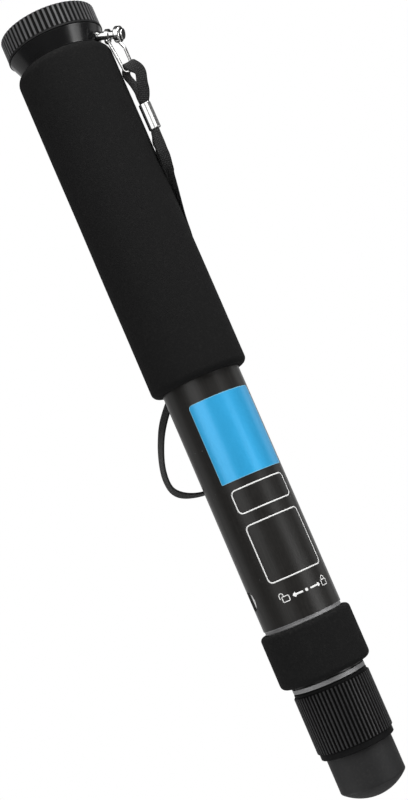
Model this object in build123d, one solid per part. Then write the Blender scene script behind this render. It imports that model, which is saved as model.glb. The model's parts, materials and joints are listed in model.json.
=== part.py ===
# Camera monopod, collapsed: six nested tubes with twist locks, a foam grip and a wrist strap.
# Millimetres, +Z up along the tubes. The origin is on the axis at the root of the camera stud,
# level with the top of the pad that the camera rests on. Azimuths run from the front, -Y, towards +X.
from build123d import *
import os
from math import atan, cos, degrees, pi, radians, sin, sqrt, tan

# Fits that every piece shares
turn_gap = 0.3          # between faces that turn past each other
slide_gap = 0.15        # round a tube that slides in a bush
shaft_gap = 0.1         # round a stud that turns in a bore
seat_gap = 0.25         # between a cone and its seat
stop_margin = 2.0       # left between a sleeve and its stop at full stretch
cut_overrun = 1.0       # how far a cut runs past the face that it leaves

# Camera stud, with the two standard threads
stud_radius = 3.175             # 1/4 inch
stud_length = 5.5
stud_tip_chamfer = 0.6
stud_body_radius = 4.7625       # 3/8 inch
stud_head_radius = 8.0
stud_head_height = 3.0

# Ribbed locking wheel under the camera
wheel_overhang = 0.36           # past the neck under it
wheel_height = 10.6
wheel_rib_count = 60
wheel_groove_radius = 0.8
wheel_groove_depth = 0.6
wheel_lip_reach = 0.14          # of the plain lip past the ribs
wheel_lip_height = 0.7
wheel_edge_chamfer = 0.4
wheel_bush_radius = 7.0
pad_rim_width = 2.96            # of the wheel round the pad
pad_thickness = 2.0
pad_proud = 0.8
pad_hole_gap = 0.6              # round the bush

# Conical neck
neck_ledge = 1.0                # of its foot past the first tube
neck_flare = 3.1                # from its foot up to its top
neck_cone_height = 7.1
neck_plug_length = 14.0
neck_wall = 3.8
neck_boss_height = 7.0
neck_screw_radius = 2.0
neck_screw_count = 3
neck_screw_height_share = 0.5   # of the plug, up from its end
neck_screw_azimuth = 20.0
neck_screw_socket_radius = 1.15
neck_screw_socket_depth = 2.0

# Strap post, square to the cone
post_azimuth = 72.0
post_height_share = 0.324       # of the cone, up from its foot
post_radius = 1.9
post_root_length = 5.0
post_flange_radius = 2.3
post_flange_height = 0.9
post_length = 11.9
post_head_radius = 2.5
post_head_height = 0.7
post_head_fillet = 0.3

# Bail of bent wire, with two eyes on the post
bail_gap = 0.15
bail_wire_radius = 0.7
bail_ring_radius = 2.8
bail_ring_width = 1.6
bail_ring_at = 5.0              # along the post, to the ring's middle
bail_ball_radius = 1.6
bail_ball_drop = 2.5
bail_disc_radius = 3.7
bail_disc_width = 3.1
bail_disc_at = 10.05            # along the post, to the disc's middle
bail_disc_fillet = 0.8
bail_drop = 21.3                # from the post's foot down to the loop's lowest line
bail_lean = 1.65                # how far the inner leg leans out on its way down
bail_loop_width = 4.2           # from leg to leg
bail_knee_drop = 10.8
bail_bend = 1.9

# Wrist strap: a ribbon 5.5 wide and 0.9 thick has the same section as this round
strap_radius = 1.25
fold_radius = 1.0
strand_offset = 1.5             # of each strand of the loop from the crimp's middle
fold_offset = 1.2               # of each strand of the fold from it
bend_share = 0.45               # of the shorter run that an arc takes up
crimp_drop = 54.1               # from the pad's top down to the crimp's top
crimp_length = 12.6
crimp_width = 5.5
crimp_depth = 3.0
crimp_fillet = 1.1
crimp_end_fillet = 0.4
crimp_seam_radius = 0.3         # of the groove where the clamp's two edges meet
crimp_seam_offset = 0.5         # of that groove from the middle of its side

# Foam grip
grip_thickness = 4.4
grip_length = 158.0
grip_top_fillet = 5.0
grip_bottom_fillet = 3.0

# First tube, its hole and its label
tube_1_wall = 1.2
tube_1_length = 268.9
hole_radius = 4.4
hole_azimuth = -76.0
hole_height = 14.2              # above the tube's end
label_thickness = 0.15
label_gap = 0.05                # of glue under it
label_height = 36.6
label_drop = 9.9                # below the grip
label_first_azimuth = -30.2
label_last_azimuth = 74.0

# The tubes inside it, each as wide as the next one and what guides that
tube_6_radius = 7.05
tube_2_wall = 1.0
tube_3_wall = 1.0
tube_4_wall = 0.9
tube_5_wall = 0.8
tube_6_wall = 0.9
first_tube_drop = 4.0           # from the neck's plug down to the second tube's top
tube_step = 4.0                 # from the second tube's top to the third's, and on to the lock
guide_length = 18.0

# First lock: a collar with a foam band that turns on a bare ferrule
ferrule_1_wall = 1.15
ferrule_1_spigot_length = 25.0
ferrule_1_sleeve_wall = 0.95
ferrule_1_sleeve_length = 16.0
ring_1_step = 0.4               # of the bare ring inside the first tube's outside
ring_1_height = 1.45
collar_1_wall = 1.25
band_height = 24.4
band_thickness = 2.7
band_top_fillet = 2.0
band_bottom_fillet = 2.5
nut_recess = 0.6                # of the collar inside the band's ends
tube_2_stub = 1.15

# Split collets of both outer locks
collet_length = 5.0
collet_thin_wall = 0.3
collet_slit = 1.2
nut_lip_gap = 0.3

# Second lock: a knob with a ribbed rubber sleeve
ferrule_2_wall = 1.45
ferrule_2_spigot_length = 22.0
ferrule_2_sleeve_wall = 1.15
ferrule_2_sleeve_length = 18.0
ring_2_step = 1.1               # of the bare ring past the second tube
ring_2_height = 1.75
knob_height = 29.9
knob_core_wall = 1.25
knob_rubber_thickness = 1.74
knob_lip_reach = 1.1            # of the plain lips past the knob's core
knob_lip_chamfer = 0.3
knob_top_lip_height = 1.3
knob_bottom_lip_height = 2.6
knob_rib_count = 60
knob_groove_radius = 0.65
knob_groove_depth = 0.5
knob_bevel = 0.6

# Inner locks of the last three tubes: a cone opens a split expander inside the tube around it
expander_length = 22.0
expander_slit = 1.4
expander_slit_turn = 30.0
seat_top_share = 0.78           # radii of the conical seat, of the bore around it
seat_foot_share = 0.5
seat_depth_share = 0.45         # of the expander's length
cam_stud_share = 0.26           # of the bore around it
cam_disc_height = 2.0
cam_plug_length = 10.0
cam_floor = 4.0                 # from a cam's plug down to the next expander
cone_travel = 0.6               # that the cone rises as its lock is opened

# End bushes of the third, fourth and fifth tubes
bush_wall = 0.9
bush_length = 12.0
bush_flange = 1.5
bush_step = 1.0                 # from a bush's flange down to the next tube's end
tube_3_below_knob = 1.8

# Rubber foot and the plug that carries it
foot_wall = 1.55                # round the tubes' ends
foot_height = 21.8
foot_dome_radius = 21.5
foot_corner_fillet = 1.2
foot_cup_gap = 0.45
foot_lip_height = 0.5
foot_disc_reach = 4.45          # past the last tube
foot_disc_height = 2.5
foot_plug_length = 14.0

# Heights, from the top down
rim_top = -pad_proud
wheel_bottom = rim_top - wheel_height
neck_top = wheel_bottom - turn_gap
neck_foot = neck_top - neck_cone_height
boss_bottom = neck_top - neck_boss_height
plug_bottom = neck_foot - neck_plug_length
grip_bottom = neck_foot - grip_length
tube_1_bottom = neck_foot - tube_1_length
ring_1_bottom = tube_1_bottom - ring_1_height
band_top = ring_1_bottom - turn_gap
band_bottom = band_top - band_height
sleeve_1_bottom = ring_1_bottom - ferrule_1_sleeve_length
tube_2_bottom = band_bottom - tube_2_stub
ring_2_bottom = tube_2_bottom - ring_2_height
knob_top = ring_2_bottom - turn_gap
knob_bottom = knob_top - knob_height
sleeve_2_bottom = ring_2_bottom - ferrule_2_sleeve_length
foot_top = knob_bottom - turn_gap
foot_tip = foot_top - foot_height
tube_3_bottom = knob_bottom - tube_3_below_knob
tube_4_bottom = tube_3_bottom - bush_flange - bush_step
tube_5_bottom = tube_4_bottom - bush_flange - bush_step
tube_6_bottom = tube_5_bottom - bush_flange - bush_step
tube_2_top = plug_bottom - first_tube_drop
tube_3_top = tube_2_top - tube_step
expander_4_top = tube_3_top - tube_step
tube_4_top = expander_4_top - expander_length - turn_gap - cam_disc_height
expander_5_top = tube_4_top - cam_plug_length - cam_floor
tube_5_top = expander_5_top - expander_length - turn_gap - cam_disc_height
expander_6_top = tube_5_top - cam_plug_length - cam_floor
tube_6_top = expander_6_top - expander_length - turn_gap - cam_disc_height

# Radii, from the inside out
tube_6_bore = tube_6_radius - tube_6_wall
tube_5_bore = tube_6_radius + slide_gap + bush_wall
tube_5_radius = tube_5_bore + tube_5_wall
tube_4_bore = tube_5_radius + slide_gap + bush_wall
tube_4_radius = tube_4_bore + tube_4_wall
tube_3_bore = tube_4_radius + slide_gap + bush_wall
tube_3_radius = tube_3_bore + tube_3_wall
ferrule_2_bore = tube_3_radius + slide_gap
tube_2_bore = ferrule_2_bore + ferrule_2_wall
tube_2_radius = tube_2_bore + tube_2_wall
ferrule_1_bore = tube_2_radius + slide_gap
tube_1_bore = ferrule_1_bore + ferrule_1_wall
tube_1_radius = tube_1_bore + tube_1_wall
foot_disc_radius = tube_6_radius + foot_disc_reach
foot_cup_radius = tube_3_radius + foot_cup_gap
foot_radius = foot_cup_radius + foot_wall
ring_2_radius = tube_2_radius + ring_2_step
sleeve_2_radius = ferrule_2_bore + ferrule_2_sleeve_wall
nut_2_radius = sleeve_2_radius + slide_gap + knob_core_wall
knob_lip_radius = nut_2_radius + knob_lip_reach
knob_radius = nut_2_radius + knob_rubber_thickness
ring_1_radius = tube_1_radius - ring_1_step
sleeve_1_radius = ferrule_1_bore + ferrule_1_sleeve_wall
nut_1_radius = sleeve_1_radius + slide_gap + collar_1_wall
band_radius = nut_1_radius + band_thickness
grip_radius = tube_1_radius + grip_thickness
neck_cavity_radius = tube_1_bore - neck_wall
neck_foot_radius = tube_1_radius + neck_ledge
neck_top_radius = neck_foot_radius + neck_flare
wheel_radius = neck_top_radius + wheel_overhang
wheel_lip_radius = wheel_radius + wheel_lip_reach
pad_radius = wheel_radius - pad_rim_width


def sleeve(outer_radius, inner_radius, bottom, top):
    """A plain round tube between two heights."""
    height = top - bottom
    ring = Cylinder(outer_radius, height) - Cylinder(inner_radius, height + cut_overrun)
    return Pos(0, 0, (bottom + top) / 2) * ring


def rod(radius, bottom, top):
    """A plain round bar between two heights."""
    return Pos(0, 0, (bottom + top) / 2) * Cylinder(radius, top - bottom)


def turned(*corners):
    """A solid turned about the Z axis from (radius, height) corners."""
    outline = make_face(Polyline(*corners, close=True))
    return revolve(Plane.XZ * outline, Axis.Z)


def rims(solid, radius, height):
    """The round edges that a turned solid has at one radius and one height."""
    found = []
    for edge in solid.edges().filter_by(GeomType.CIRCLE):
        at_radius = round(edge.radius - radius, 3) == 0
        at_height = round(edge.arc_center.Z - height, 3) == 0
        if at_radius and at_height:
            found.append(edge)
    return found


def at_azimuth(azimuth, radius, height):
    """A point given by its azimuth, its distance from the axis and its height."""
    turn = radians(azimuth)
    return Vector(radius * sin(turn), -radius * cos(turn), height)


def radial_bar(azimuth, height, radius, start, end):
    """A round bar that points straight out from the axis."""
    plane = Plane(at_azimuth(azimuth, start, height), z_dir=at_azimuth(azimuth, 1, 0))
    return extrude(plane * Circle(radius), end - start)


def slit(turn, width, reach, bottom, top):
    """A slot from the axis out to one side, turned about Z from +X, which splits a ring."""
    block = Box(reach, width, top - bottom, align=(Align.MIN, Align.CENTER, Align.MIN))
    return Rot(0, 0, turn) * Pos(0, 0, bottom) * block


def ribbed_disc(radius, count, groove_radius, groove_depth, bottom, top):
    """A disc with upright round grooves cut in its edge."""
    groove_centre = radius + groove_radius - groove_depth
    outline = Circle(radius) - PolarLocations(groove_centre, count) * Circle(groove_radius)
    return Pos(0, 0, bottom) * extrude(outline, top - bottom)


# Camera stud, wheel and neck

def make_camera_stud():
    """The thread for the camera, a wider thread under its shoulder, and a head inside the neck."""
    head_bottom = boss_bottom - stud_head_height
    stud = turned(
        (0, head_bottom), (stud_head_radius, head_bottom), (stud_head_radius, boss_bottom),
        (stud_body_radius, boss_bottom), (stud_body_radius, 0), (stud_radius, 0),
        (stud_radius, stud_length), (0, stud_length))
    return chamfer(rims(stud, stud_radius, stud_length), stud_tip_chamfer)


def make_platform_wheel():
    """The ribbed wheel, with a plain lip below and a recess for the pad on top."""
    lip_top = wheel_bottom + wheel_lip_height
    wheel = ribbed_disc(wheel_radius, wheel_rib_count, wheel_groove_radius, wheel_groove_depth,
                        wheel_bottom, rim_top)
    wheel += rod(wheel_lip_radius, wheel_bottom, lip_top)
    envelope = turned(
        (wheel_bush_radius, wheel_bottom), (wheel_lip_radius, wheel_bottom),
        (wheel_lip_radius, lip_top), (wheel_radius, lip_top),
        (wheel_radius, rim_top - wheel_edge_chamfer), (wheel_radius - wheel_edge_chamfer, rim_top),
        (pad_radius, rim_top), (pad_radius, -pad_thickness), (wheel_bush_radius, -pad_thickness))
    return wheel & envelope


def make_platform_pad():
    """The soft ring that the camera's base sits on."""
    return sleeve(pad_radius, wheel_bush_radius + pad_hole_gap, -pad_thickness, 0)


def make_wheel_bush():
    """The bush that runs on the stud's wide thread."""
    return sleeve(wheel_bush_radius, stud_body_radius + shaft_gap, wheel_bottom, rim_top)


def neck_screw_bars(start, end):
    """Bars along the axes of the grub screws, which hold the first tube on the neck's plug."""
    height = plug_bottom + neck_plug_length * neck_screw_height_share
    step = 360 / neck_screw_count
    return [radial_bar(neck_screw_azimuth + step * i, height, neck_screw_radius, start, end)
            for i in range(neck_screw_count)]


def make_neck():
    """The cone under the wheel, with a hollow plug that fills the first tube's end."""
    neck = turned(
        (stud_body_radius, neck_top), (neck_top_radius, neck_top), (neck_foot_radius, neck_foot),
        (tube_1_bore, neck_foot), (tube_1_bore, plug_bottom), (neck_cavity_radius, plug_bottom),
        (neck_cavity_radius, boss_bottom), (stud_body_radius, boss_bottom))
    for bar in neck_screw_bars(neck_cavity_radius - cut_overrun, tube_1_radius):
        neck -= bar
    root = Cylinder(post_radius, post_root_length, align=(Align.CENTER, Align.CENTER, Align.MAX))
    return neck - post_frame * root


def make_neck_screws():
    """Grub screws with sockets, flush with the plug's inside and the tube's outside."""
    screw_end = sqrt(tube_1_radius ** 2 - neck_screw_radius ** 2)
    height = plug_bottom + neck_plug_length * neck_screw_height_share
    screws = []
    for i, bar in enumerate(neck_screw_bars(neck_cavity_radius, screw_end)):
        azimuth = neck_screw_azimuth + 360 / neck_screw_count * i
        socket_foot = at_azimuth(azimuth, screw_end - neck_screw_socket_depth, height)
        socket = Plane(socket_foot, z_dir=at_azimuth(azimuth, 1, 0)) * RegularPolygon(
            neck_screw_socket_radius, 6)
        screws.append(bar - extrude(socket, neck_screw_socket_depth + cut_overrun))
    return Compound(screws)


# Strap post, bail, crimp and strap

post_tilt = atan((neck_top_radius - neck_foot_radius) / neck_cone_height)
post_foot_reach = neck_foot_radius + (neck_top_radius - neck_foot_radius) * post_height_share
post_foot_height = neck_foot + neck_cone_height * post_height_share
post_foot = at_azimuth(post_azimuth, post_foot_reach, post_foot_height)
post_axis = at_azimuth(post_azimuth, cos(post_tilt), -sin(post_tilt))
sideways = at_azimuth(post_azimuth + 90, 1, 0)
# along this frame's Z lies the post, and its Y runs up the cone
post_frame = Plane(post_foot, x_dir=sideways, z_dir=post_axis)
# the bail's ball and legs, by their distance out from the monopod's axis
ball_reach = post_foot_reach + bail_ring_at * cos(post_tilt) - bail_ball_drop * sin(post_tilt)
inner_leg_reach = ball_reach + bail_lean
outer_leg_reach = inner_leg_reach + bail_loop_width
crimp_reach = (inner_leg_reach + outer_leg_reach) / 2


def strap_point(reach, across, height):
    """A point by its distance out from the axis in the post's plane, and then sideways to the back."""
    return at_azimuth(post_azimuth, reach, height) + sideways * across


def make_strap_post():
    """A post with its root in the neck, a flange against the cone and a peened head."""
    head_top = post_length + post_head_height
    post = turned(
        (0, -post_root_length), (post_radius, -post_root_length), (post_radius, 0),
        (post_flange_radius, 0), (post_flange_radius, post_flange_height),
        (post_radius, post_flange_height), (post_radius, post_length),
        (post_head_radius, post_length), (post_head_radius, head_top), (0, head_top))
    return post_frame * fillet(rims(post, post_head_radius, head_top), post_head_fillet)


def make_wire_bail():
    """One chrome piece: a ring with a ball under it, a disc, and the wire loop between them."""
    disc = Cylinder(bail_disc_radius, bail_disc_width)
    disc = fillet(disc.edges().filter_by(GeomType.CIRCLE), bail_disc_fillet)
    ring = Cylinder(bail_ring_radius, bail_ring_width)
    ball_place = post_frame * Pos(0, -bail_ball_drop, bail_ring_at)
    disc_edge = post_frame * Pos(0, bail_wire_radius - bail_disc_radius, bail_disc_at)
    eyes = post_frame * (Pos(0, 0, bail_ring_at) * ring + Pos(0, 0, bail_disc_at) * disc)
    low = post_foot_height - bail_drop
    route = FilletPolyline(
        ball_place.position, strap_point(inner_leg_reach, 0, low), strap_point(outer_leg_reach, 0, low),
        strap_point(outer_leg_reach, 0, post_foot_height - bail_knee_drop), disc_edge.position,
        radius=bail_bend)
    wire = sweep(Plane(route @ 0, z_dir=route % 0) * Circle(bail_wire_radius), path=route)
    bore = Cylinder(post_radius + bail_gap, post_length, align=(Align.CENTER, Align.CENTER, Align.MIN))
    return eyes + Pos(ball_place.position) * Sphere(bail_ball_radius) + wire - post_frame * bore


def make_strap_crimp():
    """The clamp bent round the strap's two strands, with a seam down its front."""
    middle = strap_point(crimp_reach, 0, -crimp_drop - crimp_length / 2)
    block = Box(crimp_width, crimp_depth, crimp_length)
    block = fillet(block.edges().filter_by(Axis.Z), crimp_fillet)
    ends = block.faces().sort_by(Axis.Z)
    block = fillet(ends[0].edges() + ends[-1].edges(), crimp_end_fillet)
    seam = Cylinder(crimp_seam_radius, crimp_length + cut_overrun)
    block -= Pos(crimp_seam_offset, -crimp_depth / 2, 0) * seam
    return Pos(middle) * Rot(0, 0, post_azimuth - 90) * block


def cord_tube(name, points, radius):
    """A round tube along straight runs joined by arcs. It prints its bends and its volume."""
    runs = [end - start for start, end in zip(points, points[1:])]
    bends = []
    for before, after in zip(runs, runs[1:]):
        half_turn = radians(before.get_angle(after)) / 2
        bends.append(bend_share * min(before.length, after.length) / tan(half_turn))
    route = FilletPolyline(*points, radius=bends)
    tube = sweep(Plane(route @ 0, z_dir=route % 0) * Circle(radius), path=route)
    print(name, "bend radii", [round(bend, 1) for bend in bends])
    print(name, "length", round(route.length, 1), "volume over section times length",
          round(tube.volume / (pi * radius ** 2 * route.length), 4))
    return tube


def make_strap_fold():
    """The strap's fold through the bail, from the crimp's inner side round to its outer one."""
    crimp_top = -crimp_drop
    inner = crimp_reach - fold_offset
    outer = crimp_reach + fold_offset
    return cord_tube("strap_fold", [
        strap_point(inner, 0, crimp_top), strap_point(inner, 0, -51.3), strap_point(26.0, 2.2, -46.6),
        strap_point(25.6, 3.4, -41.3), strap_point(27.2, 3.2, -36.0), strap_point(27.6, -3.0, -35.7),
        strap_point(30.6, -3.6, -38.8), strap_point(31.4, -2.9, -45.3), strap_point(29.7, -1.3, -49.7),
        strap_point(outer, 0, -51.9), strap_point(outer, 0, crimp_top)], fold_radius)


def make_wrist_strap():
    """The strap's loop: down from the crimp, behind the tube, out to the left and back up."""
    crimp_bottom = -crimp_drop - crimp_length
    inner = crimp_reach - strand_offset
    outer = crimp_reach + strand_offset
    return cord_tube("wrist_strap", [
        strap_point(outer, 0, crimp_bottom), strap_point(outer, 0, -75.0),
        Vector(25.6, -2.2, -88.5), Vector(22.2, 13.0, -105.0), Vector(18.5, 20.0, -124.0),
        Vector(16.5, 23.5, -146.0), Vector(15.0, 25.0, -168.0), Vector(12.5, 24.5, -189.0),
        Vector(6.0, 22.5, -207.0), Vector(-5.0, 20.5, -219.5), Vector(-17.5, 12.5, -223.2),
        Vector(-28.3, 8.0, -218.0), Vector(-31.2, 8.5, -206.5), Vector(-27.0, 12.0, -194.5),
        Vector(-18.0, 19.5, -183.5), Vector(-8.5, 25.5, -169.5), Vector(0.5, 27.5, -152.0),
        Vector(8.0, 26.0, -133.0), Vector(15.0, 21.0, -112.5), Vector(22.0, 11.8, -91.5),
        Vector(25.2, -0.6, -81.0), strap_point(inner, 0, -74.0),
        strap_point(inner, 0, crimp_bottom)], strap_radius)


# Grip, first tube and its label

def make_foam_grip():
    """The long foam sleeve, with well rounded ends."""
    grip = rod(grip_radius, grip_bottom, neck_foot)
    grip = fillet(rims(grip, grip_radius, neck_foot), grip_top_fillet)
    grip = fillet(rims(grip, grip_radius, grip_bottom), grip_bottom_fillet)
    return grip - rod(tube_1_radius, grip_bottom - cut_overrun, neck_foot + cut_overrun)


def make_section_1_tube():
    """The outer tube, with its grub screw holes and the round hole near its end."""
    tube = sleeve(tube_1_radius, tube_1_bore, tube_1_bottom, neck_foot)
    for bar in neck_screw_bars(neck_cavity_radius, tube_1_radius + cut_overrun):
        tube -= bar
    height = tube_1_bottom + hole_height
    return tube - radial_bar(hole_azimuth, height, hole_radius, 0, tube_1_radius + cut_overrun)


def make_colour_label():
    """The thin label wrapped part of the way round the tube."""
    top = grip_bottom - label_drop
    bottom = top - label_height
    inside = tube_1_radius + label_gap
    outside = inside + label_thickness
    corners = [(inside, bottom), (outside, bottom), (outside, top), (inside, top)]
    section = Plane.XZ * make_face(Polyline(*corners, close=True))
    wrap = label_last_azimuth - label_first_azimuth
    return revolve(Rot(0, 0, label_first_azimuth - 90) * section, Axis.Z, revolution_arc=wrap)


# Both outer locks: a ferrule fixed in one tube's end, a split collet, and a nut that squeezes it

def ferrule(spigot_radius, spigot_length, ring_radius, sleeve_radius, bore, ring_top, ring_bottom,
            sleeve_bottom):
    """A spigot up inside the tube, the bare ring that shows, and a sleeve for the nut to turn on."""
    spigot_top = ring_top + spigot_length
    return turned(
        (bore, spigot_top), (spigot_radius, spigot_top), (spigot_radius, ring_top),
        (ring_radius, ring_top), (ring_radius, ring_bottom), (sleeve_radius, ring_bottom),
        (sleeve_radius, sleeve_bottom), (bore, sleeve_bottom))


def collet(sleeve_radius, bore, top):
    """A split ring under the ferrule's sleeve, conical outside."""
    bottom = top - collet_length
    thick = sleeve_radius + slide_gap - seat_gap
    ring = turned((bore, top), (thick, top), (bore + collet_thin_wall, bottom), (bore, bottom))
    return ring - slit(0, collet_slit, thick + cut_overrun, bottom - cut_overrun, top + cut_overrun)


def lock_nut(outer_radius, sleeve_radius, bore, tube_radius, top, sleeve_bottom, bottom):
    """A collar that turns on the ferrule's sleeve, with a cone round the collet and a lip below."""
    running_bore = sleeve_radius + slide_gap
    collet_bottom = sleeve_bottom - collet_length
    cone_foot = bore + collet_thin_wall + seat_gap
    lip_top = collet_bottom - turn_gap
    lip_bore = tube_radius + nut_lip_gap
    return turned(
        (running_bore, top), (outer_radius, top), (outer_radius, bottom), (lip_bore, bottom),
        (lip_bore, lip_top), (cone_foot, lip_top), (cone_foot, collet_bottom),
        (running_bore, sleeve_bottom))


def make_lock_1_ferrule():
    """The first lock's ferrule: its ring shows between the first tube and the foam band."""
    return ferrule(tube_1_bore, ferrule_1_spigot_length, ring_1_radius, sleeve_1_radius, ferrule_1_bore,
                   tube_1_bottom, ring_1_bottom, sleeve_1_bottom)


def make_lock_1_nut():
    """The first lock's collar, under the foam band."""
    return lock_nut(nut_1_radius, sleeve_1_radius, ferrule_1_bore, tube_2_radius,
                    band_top - nut_recess, sleeve_1_bottom, band_bottom + nut_recess)


def make_lock_1_band():
    """The foam band that is glued round the first lock's collar."""
    band = rod(band_radius, band_bottom, band_top)
    band = fillet(rims(band, band_radius, band_top), band_top_fillet)
    band = fillet(rims(band, band_radius, band_bottom), band_bottom_fillet)
    return band - rod(nut_1_radius, band_bottom - cut_overrun, band_top + cut_overrun)


def make_lock_2_ferrule():
    """The second lock's ferrule: its ring shows above the rubber knob."""
    return ferrule(tube_2_bore, ferrule_2_spigot_length, ring_2_radius, sleeve_2_radius, ferrule_2_bore,
                   tube_2_bottom, ring_2_bottom, sleeve_2_bottom)


def make_lock_2_nut():
    """The second lock's knob, with a plain lip above and below its rubber sleeve."""
    nut = lock_nut(nut_2_radius, sleeve_2_radius, ferrule_2_bore, tube_3_radius,
                   knob_top, sleeve_2_bottom, knob_bottom)
    nut += sleeve(knob_lip_radius, nut_2_radius, knob_top - knob_top_lip_height, knob_top)
    nut += sleeve(knob_lip_radius, nut_2_radius, knob_bottom, knob_bottom + knob_bottom_lip_height)
    edges = rims(nut, knob_lip_radius, knob_top) + rims(nut, knob_lip_radius, knob_bottom)
    return chamfer(edges, knob_lip_chamfer)


def make_lock_2_grip():
    """The ribbed rubber sleeve between the knob's lips."""
    top = knob_top - knob_top_lip_height
    bottom = knob_bottom + knob_bottom_lip_height
    ribs = ribbed_disc(knob_radius, knob_rib_count, knob_groove_radius, knob_groove_depth, bottom, top)
    edge = knob_radius - knob_bevel
    envelope = turned(
        (nut_2_radius, bottom), (edge, bottom), (knob_radius, bottom + knob_bevel),
        (knob_radius, top - knob_bevel), (edge, top), (nut_2_radius, top))
    return ribs & envelope


# Inner tubes and their locks

def end_bush(outer_radius, tube_bore, inner_tube_radius, tube_bottom):
    """A bush pressed into a tube's end, with a flange as wide as the tube."""
    bore = inner_tube_radius + slide_gap
    top = tube_bottom + bush_length
    bottom = tube_bottom - bush_flange
    return turned(
        (bore, top), (tube_bore, top), (tube_bore, tube_bottom), (outer_radius, tube_bottom),
        (outer_radius, bottom), (bore, bottom))


def cam(tube_radius, tube_bore, outer_bore, tube_top, expander_top):
    """A plug in the tube's top end, a disc on the tube and a threaded stud up through the lock."""
    stud = outer_bore * cam_stud_share
    disc_top = tube_top + cam_disc_height
    plug_end = tube_top - cam_plug_length
    stud_top = expander_top + cone_travel
    return turned(
        (0, plug_end), (tube_bore, plug_end), (tube_bore, tube_top), (tube_radius, tube_top),
        (tube_radius, disc_top), (stud, disc_top), (stud, stud_top), (0, stud_top))


def cone_nut(outer_bore, expander_top):
    """The conical nut on the stud, flush with the expander's top."""
    bore = outer_bore * cam_stud_share + shaft_gap
    bottom = expander_top - expander_length * seat_depth_share + turn_gap
    top_radius = outer_bore * seat_top_share - seat_gap
    foot_radius = outer_bore * seat_foot_share - slide_gap
    return turned((bore, bottom), (foot_radius, bottom), (top_radius, expander_top), (bore, expander_top))


def expander(outer_bore, expander_top):
    """The split sleeve in the outer tube's bore, with a conical seat for the nut."""
    bore = outer_bore * cam_stud_share + shaft_gap
    radius = outer_bore - slide_gap
    bottom = expander_top - expander_length
    seat_foot = expander_top - expander_length * seat_depth_share
    body = turned(
        (bore, bottom), (radius, bottom), (radius, expander_top),
        (outer_bore * seat_top_share, expander_top), (outer_bore * seat_foot_share, seat_foot),
        (bore, seat_foot))
    cut = slit(expander_slit_turn, expander_slit, outer_bore, bottom - cut_overrun,
               expander_top + cut_overrun)
    return body - cut


def guide(outer_bore, tube_radius, top):
    """The sleeve round a tube's top end that rides in the bore around it."""
    return sleeve(outer_bore - slide_gap, tube_radius, top - guide_length, top)


def make_foot_plug():
    """The stem in the last tube's end, with the disc that the rubber is moulded round."""
    stem_top = tube_6_bottom + foot_plug_length
    disc_bottom = tube_6_bottom - foot_disc_height
    return turned(
        (0, disc_bottom), (foot_disc_radius, disc_bottom), (foot_disc_radius, tube_6_bottom),
        (tube_6_bore, tube_6_bottom), (tube_6_bore, stem_top), (0, stem_top))


def make_rubber_foot():
    """The domed foot: a cup round the tubes' ends, and a pocket round the plug's disc."""
    dome_edge = foot_tip + foot_dome_radius - sqrt(foot_dome_radius ** 2 - foot_radius ** 2)
    dome = Pos(0, 0, foot_tip + foot_dome_radius) * Sphere(foot_dome_radius)
    foot = rod(foot_radius, dome_edge, foot_top) + (dome & rod(foot_radius, foot_tip, dome_edge))
    foot = fillet(rims(foot, foot_radius, dome_edge), foot_corner_fillet)
    cup_floor = tube_6_bottom + foot_lip_height
    disc_bottom = tube_6_bottom - foot_disc_height
    foot -= rod(foot_cup_radius, cup_floor, foot_top + cut_overrun)
    foot -= rod(tube_6_radius + slide_gap, tube_6_bottom, cup_floor + cut_overrun)
    return foot - rod(foot_disc_radius, disc_bottom, tube_6_bottom)


nodes = {
    "camera_stud": make_camera_stud(),
    "platform_wheel": make_platform_wheel(),
    "platform_pad": make_platform_pad(),
    "wheel_bush": make_wheel_bush(),
    "neck": make_neck(),
    "neck_screws": make_neck_screws(),
    "strap_post": make_strap_post(),
    "wire_bail": make_wire_bail(),
    "strap_crimp": make_strap_crimp(),
    "strap_fold": make_strap_fold(),
    "wrist_strap": make_wrist_strap(),
    "foam_grip": make_foam_grip(),
    "section_1_tube": make_section_1_tube(),
    "colour_label": make_colour_label(),
    "lock_1_ferrule": make_lock_1_ferrule(),
    "lock_1_collet": collet(sleeve_1_radius, ferrule_1_bore, sleeve_1_bottom),
    "lock_1_nut": make_lock_1_nut(),
    "lock_1_band": make_lock_1_band(),
    "section_2_tube": sleeve(tube_2_radius, tube_2_bore, tube_2_bottom, tube_2_top),
    "section_2_guide": guide(tube_1_bore, tube_2_radius, tube_2_top),
    "lock_2_ferrule": make_lock_2_ferrule(),
    "lock_2_collet": collet(sleeve_2_radius, ferrule_2_bore, sleeve_2_bottom),
    "lock_2_nut": make_lock_2_nut(),
    "lock_2_grip": make_lock_2_grip(),
    "section_3_tube": sleeve(tube_3_radius, tube_3_bore, tube_3_bottom, tube_3_top),
    "section_3_guide": guide(tube_2_bore, tube_3_radius, tube_3_top),
    "section_3_end_bush": end_bush(tube_3_radius, tube_3_bore, tube_4_radius, tube_3_bottom),
    "section_4_tube": sleeve(tube_4_radius, tube_4_bore, tube_4_bottom, tube_4_top),
    "section_4_end_bush": end_bush(tube_4_radius, tube_4_bore, tube_5_radius, tube_4_bottom),
    "section_5_tube": sleeve(tube_5_radius, tube_5_bore, tube_5_bottom, tube_5_top),
    "section_5_end_bush": end_bush(tube_5_radius, tube_5_bore, tube_6_radius, tube_5_bottom),
    "section_6_tube": sleeve(tube_6_radius, tube_6_bore, tube_6_bottom, tube_6_top),
    "foot_plug": make_foot_plug(),
    "rubber_foot": make_rubber_foot(),
}

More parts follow.
